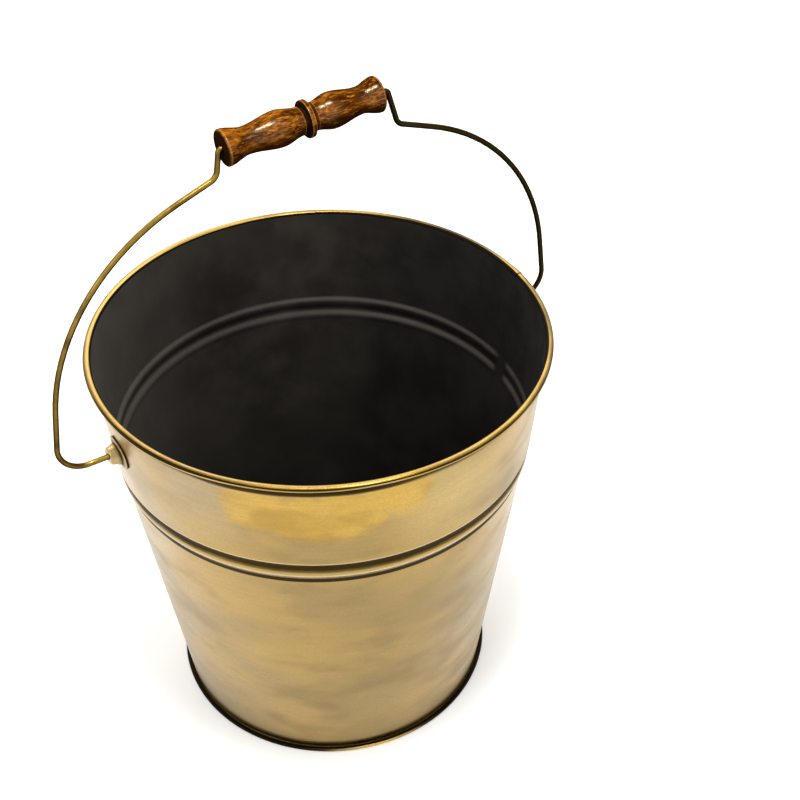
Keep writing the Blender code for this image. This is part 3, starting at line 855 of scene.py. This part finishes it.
class Shader:
    """A material's nodes, added one call at a time."""

    def __init__(self, name):
        self.material = bpy.data.materials.new(name)
        self.material.use_nodes = True
        self.tree = self.material.node_tree
        self.surface = self.tree.nodes["Principled BSDF"]
        coordinates = self.add("ShaderNodeTexCoord").outputs
        self.place = coordinates["Object"]
        self.normal = coordinates["Normal"]

    def add(self, kind, **settings):
        """A new node with its settings."""
        node = self.tree.nodes.new(kind)
        for key, value in settings.items():
            setattr(node, key, value)
        return node

    def feed(self, socket, value):
        """Links an output to the socket, or sets the socket to a constant."""
        if isinstance(value, bpy.types.NodeSocket):
            self.tree.links.new(value, socket)
        else:
            socket.default_value = value

    def set(self, **values):
        """Sets or links the surface's inputs, whose names have their spaces as underscores."""
        for key, value in values.items():
            self.feed(self.surface.inputs[key.replace("_", " ")], value)

    def math(self, operation, a, b):
        """The result of an operation on two values."""
        node = self.add("ShaderNodeMath", operation=operation)
        self.feed(node.inputs[0], a)
        self.feed(node.inputs[1], b)
        return node.outputs[0]

    def plus(self, a, b):
        """The sum of two values."""
        return self.math("ADD", a, b)

    def times(self, a, b):
        """The product of two values."""
        return self.math("MULTIPLY", a, b)

    def vector(self, operation, a, b):
        """The single number that an operation on two vectors gives."""
        node = self.add("ShaderNodeVectorMath", operation=operation)
        self.feed(node.inputs[0], a)
        self.feed(node.inputs[1], b)
        return node.outputs["Value"]

    def along(self, axis):
        """The place's X, Y or Z."""
        node = self.add("ShaderNodeSeparateXYZ")
        self.feed(node.inputs[0], self.place)
        return node.outputs[axis]

    def noise(self, scale, stretch=(1, 1, 1), detail=3.0, rough=0.5, warp=0.0):
        """Noise with the given number of swings a metre, times its stretch along X, Y and Z."""
        mapping = self.add("ShaderNodeMapping")
        self.feed(mapping.inputs["Vector"], self.place)
        mapping.inputs["Scale"].default_value = [scale * each for each in stretch]
        node = self.add("ShaderNodeTexNoise")
        self.feed(node.inputs["Vector"], mapping.outputs[0])
        for key, setting in (("Scale", 1.0), ("Detail", detail), ("Roughness", rough), ("Distortion", warp)):
            node.inputs[key].default_value = setting
        return node.outputs["Fac"]

    def ramp(self, value, low, high, start=0.0, end=1.0):
        """The value, smoothly mapped from low..high to start..end."""
        node = self.add("ShaderNodeMapRange", interpolation_type="SMOOTHSTEP")
        self.feed(node.inputs["Value"], value)
        for key, setting in (("From Min", low), ("From Max", high), ("To Min", start), ("To Max", end)):
            node.inputs[key].default_value = setting
        return node.outputs["Result"]

    def mix(self, share, a, b):
        """The first colour, with a share of the second."""
        node = self.add("ShaderNodeMix", data_type="RGBA")
        self.feed(node.inputs["Factor"], share)
        self.feed(node.inputs["A"], (*a, 1) if isinstance(a, tuple) else a)
        self.feed(node.inputs["B"], (*b, 1) if isinstance(b, tuple) else b)
        return node.outputs["Result"]

    def cover(self, colour, *layers):
        """The colour under layers of (share, colour), the first of them lowest."""
        for share, over in layers:
            colour = self.mix(share, colour, over)
        return colour

    def near(self, centre, reach):
        """1 at a place, falling smoothly to 0 at the reach from it."""
        return self.ramp(self.vector("DISTANCE", self.place, centre), 0, reach, 1, 0)

    def among(self, places):
        """1 at any of the places, falling smoothly to 0 at their reaches."""
        share = self.near(*places[0])
        for centre, reach in places[1:]:
            share = self.math("MAXIMUM", share, self.near(centre, reach))
        return share

    def ragged(self, value, noise, swing):
        """The value, pushed up and down by noise."""
        return self.plus(value, self.times(self.math("SUBTRACT", noise, 0.5), swing))

    def towards(self, side):
        """1 where the surface looks to a side of its piece, 0 square to that and -1 away from it."""
        return self.vector("DOT_PRODUCT", self.normal, side)

    def patina(self):
        """The mark that skin() wrote at each point: patina and wear, and painted shade and painted highlight.
        """
        return self.add("ShaderNodeAttribute", attribute_name="patina").outputs["Fac"]

    def bump(self, height, strength, distance):
        """Tilts the surface by a height."""
        node = self.add("ShaderNodeBump")
        node.inputs["Strength"].default_value = strength
        node.inputs["Distance"].default_value = distance
        self.feed(node.inputs["Height"], height)
        self.feed(self.surface.inputs["Normal"], node.outputs["Normal"])


def brass_material():
    """Antiqued brass plate: golden where it is polished, olive smears, dark patina in the hollows, and
    painted shade, painted highlights and a painted reflection in places.
    """
    shader = Shader("aged_brass")
    patches = shader.noise(9, (1, 1, 1.8), detail=2)
    smears = shader.noise(22, (1, 1, 2.2))
    blots = shader.noise(48, (1, 1, 1.3), detail=5, rough=0.62)
    brush = shader.noise(12, (1, 1, 55), detail=2)
    grain = shader.noise(700, (1, 1, 1.4), detail=2)
    mark = shader.patina()
    # Smears darkened in places as painted shade
    smeared = shader.plus(smears, shader.times(shader.among(SHADED_SMEAR_PLACES), 0.13))
    golden = shader.ragged(shader.among(GOLDEN_PLACES), blots, 1.1)
    gilt = shader.mix(shader.ramp(smears, 0.40, 0.60), GILT, DEEP_GILT)
    # The painted highlight on the hem in front is more golden
    worn = shader.mix(shader.near(*HEM_HIGHLIGHT_PLACE), WORN_AND_HIGHLIGHT_BRASS, HEM_HIGHLIGHT_GOLD)
    frayed = shader.ragged(mark, blots, 0.45)
    # Patina, with painted shade under the rim and under the curl
    stained = shader.times(shader.ramp(frayed, 0.02, 0.85), shader.ramp(mark, 0.0, 0.15))
    colour = shader.cover(
        OLIVE_BRASS,
        (shader.ramp(patches, 0.38, 0.62), WARM_BRASS),
        (shader.ramp(smeared, 0.46, 0.80, 0, 0.62), SMEAR),
        # A side darkened as painted shade
        (shader.times(shader.near(*SHADED_SIDE), 0.42), SHADED_BRASS),
        # A pale painted reflection at the far left
        (shader.times(shader.among(PALE_REFLECTION_PLACES), 0.75), PALE_REFLECTION_BRASS),
        (shader.times(shader.near(*TAN_PLACE), 0.8), TAN_BRASS),
        (shader.ramp(golden, 0.18, 0.66, 0, 0.72), gilt),
        (shader.ramp(brush, 0.3, 0.7, 0, 0.13), BRUSH_MARK),
        (shader.ramp(grain, 0.35, 0.65, 0, 0.14), FINE_GRAIN),
        (shader.ramp(shader.along("Z"), RIM_GOLD_START, RIM_GOLD_END, 0, 0.5), RIM_GOLD),
        # Wear, and painted highlight on the lip and rib of the beads and on the hem in front
        (shader.ramp(mark, 0, -1, 0, 0.8), worn),
        (stained, PATINA_AND_SHADE),
        (shader.ramp(mark, 1.0, 1.6), DEEP_PATINA_AND_SHADE),
    )
    rough = shader.plus(shader.ramp(smears, 0.3, 0.7, 0.26, 0.38), shader.times(stained, 0.15))
    coat = shader.math("SUBTRACT", BRASS_COAT, shader.times(stained, BRASS_COAT))
    shader.set(Base_Color=colour, Metallic=1.0, Roughness=rough)
    shader.set(Coat_Weight=coat, Coat_Roughness=0.3, Coat_IOR=1.5)
    return shader.material


def paint_material():
    """Matt black paint, sprayed unevenly, with painted light to the left inside, painted shade to the right
    and painted highlights on the beads' ridges.
    """
    shader = Shader("black_paint")
    mottle = shader.noise(30, detail=5, rough=0.62)
    haze = shader.noise(12, (1, 1, 0.8), detail=2)
    mark = shader.patina()
    edge = shader.ramp(mark, 0, 1)
    across = shader.along("X")
    colour = shader.cover(
        DARK_PAINT,
        (shader.ramp(mottle, 0.38, 0.68), PAINT),
        (shader.ramp(haze, 0.45, 0.7, 0, 0.6), PAINT_HAZE),
        # Painted light to the left inside and painted shade to the right
        (shader.ramp(across, 0, -0.13, 0, 0.75), PAINT_LIT_LEFT),
        (shader.ramp(across, 0.05, 0.13, 0, 0.9), PAINT_SHADED_RIGHT),
        # Painted highlight on the beads' ridges inside
        (shader.ramp(mark, 0, -1), PAINT_BEAD_HIGHLIGHT),
        (edge, STAINED_PAINT),
    )
    shader.set(Base_Color=colour, Roughness=shader.ramp(mottle, 0.3, 0.7, 0.46, 0.60))
    shader.set(Specular_IOR_Level=shader.ramp(edge, 0, 1, 0.45, 0.05), Specular_Tint=PAINT_SHINE)
    shader.bump(shader.noise(700), 0.2, 0.0001)
    return shader.material


def wire_material():
    """Antiqued brass-plated wire: worn to gold at the left and dark towards the right, the gold kept above
    and in front as a painted highlight and faded below and behind as painted shade.
    """
    shader = Shader("wire_finish")
    wear = shader.noise(60, detail=4, rough=0.6)
    gold = shader.times(
        shader.ramp(shader.along("X"), 0.02, -0.06, 0.05, 1.0), shader.ramp(wear, 0.30, 0.62, 0.35, 1.0)
    )
    # Painted highlight and shade: the worn gold kept above and in front, and faded below and behind
    gold = shader.times(gold, shader.ramp(shader.towards(WIRE_LIT_SIDE), 0.2, 0.95, 0.06, 0.9))
    shader.set(Base_Color=shader.mix(gold, DARK_WIRE, WIRE_WORN_AND_LIT_GOLD), Metallic=1.0, Roughness=0.33)
    shader.set(Specular_Tint=WIRE_SHINE)
    return shader.material


def wood_material():
    """Brown stained hardwood under gloss lacquer: grain along the grip, a painted highlight along its edges
    and painted shade on its underside.
    """
    shader = Shader("lacquered_wood")
    streaks = shader.noise(760, (0.15, 1, 1), detail=6, rough=0.70, warp=0.5)
    bands = shader.noise(120, (0.3, 1, 1), detail=4, rough=0.6, warp=0.6)
    pores = shader.noise(1700, (0.14, 1, 1), detail=2, rough=0.6)
    bands = shader.plus(bands, shader.ramp(shader.along("X"), -0.04, 0.04, 0.04, -0.08))
    facing = shader.add("ShaderNodeLayerWeight").outputs["Facing"]
    mark = shader.patina()
    colour = shader.cover(
        DARK_WOOD,
        (shader.ramp(bands, 0.38, 0.62), WOOD),
        (shader.ramp(streaks, 0.47, 0.61, 0, 0.78), DARK_STREAK),
        (shader.ramp(streaks, 0.47, 0.34, 0, 0.6), LIGHT_STREAK),
        (shader.ramp(pores, 0.54, 0.66, 0, 0.75), PORE),
        # Painted shade: the grip is darker on its underside, away from its lit upper side
        (shader.ramp(shader.towards(GRIP_LIT_SIDE), 0.60, -0.45, 0, 0.95), GRIP_UNDERSIDE_SHADE),
        (shader.ramp(mark, 0, 1, 0, 0.93), WOOD_STAIN),
        # Painted highlight along the grip's rounded edges
        (shader.ramp(mark, -0.4, -1, 0, 0.5), WOOD_EDGE_HIGHLIGHT),
    )
    gloss = shader.times(shader.ramp(facing, 0.03, 0.22, 0.58, 0), shader.ramp(mark, 0, 0.8, 1, 0))
    gloss = shader.times(gloss, shader.ramp(pores, 0.64, 0.50, 0.3, 1))
    shader.set(Base_Color=colour, Roughness=0.22, Specular_IOR_Level=gloss, Specular_Tint=LACQUER_SHINE)
    shader.bump(shader.plus(streaks, shader.times(pores, 0.6)), 0.16, 0.0003)
    return shader.material


def steel_material():
    """Plain drawn wire, dulled."""
    shader = Shader("bare_steel")
    dull = shader.noise(80, (1, 1, 3))
    shader.set(Base_Color=shader.mix(dull, DARK_STEEL, STEEL), Metallic=1.0, Roughness=0.5)
    return shader.material


def seen_by_eye(tree):
    """1 for rays from the camera and for those mirrored or let through by a piece, 0 for light."""
    path = tree.nodes.new("ShaderNodeLightPath")
    total = path.outputs["Is Camera Ray"]
    for name in ("Is Glossy Ray", "Is Transmission Ray"):
        most = tree.nodes.new("ShaderNodeMath")
        most.operation = "MAXIMUM"
        tree.links.new(total, most.inputs[0])
        tree.links.new(path.outputs[name], most.inputs[1])
        total = most.outputs[0]
    return total


def floor_material():
    """Pale, with a shadow near the bucket, and fading to white further off by its own light alone."""
    shader = Shader("floor")
    away = shader.vector("DISTANCE", shader.place, (0, 0, 0))
    white = shader.ramp(away, FLOOR_FADE_START, FLOOR_FADE_END, FLOOR_GLOW, 1.0)
    glow = shader.times(seen_by_eye(shader.tree), white)
    shader.set(Base_Color=(FLOOR_COLOUR, FLOOR_COLOUR, FLOOR_COLOUR, 1), Emission_Color=(1, 1, 1, 1))
    shader.set(Emission_Strength=glow, Roughness=0.9, Specular_IOR_Level=0.0)
    return shader.material


def make_floor():
    """The stage that the bucket stands on."""
    half = FLOOR_SIZE / 2
    mesh = bpy.data.meshes.new("floor")
    corners = [(-half, -half, 0), (half, -half, 0), (half, half, 0), (-half, half, 0)]
    mesh.from_pydata(corners, [], [(0, 1, 2, 3)])
    mesh.materials.append(floor_material())
    floor = bpy.data.objects.new("floor", mesh)
    bpy.context.scene.collection.objects.link(floor)


def make_world():
    """White to the eye, and weaker as a light."""
    world = bpy.data.worlds.new("studio")
    world.use_nodes = True
    tree = world.node_tree
    sky = tree.nodes["Background"]
    sky.inputs["Color"].default_value = (1, 1, 1, 1)
    strength = tree.nodes.new("ShaderNodeMapRange")
    strength.inputs["To Min"].default_value = WORLD_STRENGTH
    strength.inputs["To Max"].default_value = 1.0
    tree.links.new(seen_by_eye(tree), strength.inputs["Value"])
    tree.links.new(strength.outputs["Result"], sky.inputs["Strength"])
    bpy.context.scene.world = world


def make_lamp(name, place, size, power):
    """A rectangular lamp that shines at the bucket."""
    lamp = bpy.data.lights.new(name, "AREA")
    lamp.shape = "RECTANGLE"
    lamp.size, lamp.size_y = size
    lamp.energy = power
    made = bpy.data.objects.new(name, lamp)
    made.location = place
    made.rotation_euler = (LAMP_TARGET - Vector(place)).to_track_quat("-Z", "Y").to_euler()
    bpy.context.scene.collection.objects.link(made)


def make_camera():
    """The photograph's camera."""
    back = CAMERA_RIGHT.cross(CAMERA_UP).normalized()
    turn = Matrix((CAMERA_RIGHT, CAMERA_UP, back)).transposed()
    data = bpy.data.cameras.new("camera")
    data.lens = CAMERA_LENS
    camera = bpy.data.objects.new("camera", data)
    camera.matrix_world = Matrix.Translation(CAMERA_PLACE) @ turn.to_4x4()
    bpy.context.scene.collection.objects.link(camera)
    bpy.context.scene.camera = camera


def main():
    """The studio, and then the bucket in it."""
    make_camera()
    make_world()
    make_floor()
    for lamp in LAMPS:
        make_lamp(*lamp)
    brass = brass_material()
    paint = paint_material()
    make_wall(brass, paint)
    make_pan(brass, paint)
    make_ear("ear_plate_right", 1, brass, "ear_right")
    make_ear("ear_plate_left", -1, brass, "ear_left")
    make_bail(wire_material())
    make_grip(wood_material())
    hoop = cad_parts["rim_wire"]
    hoop.data.materials.clear()
    hoop.data.materials.append(steel_material())
    bpy.context.scene.view_settings.view_transform = "Standard"


main()
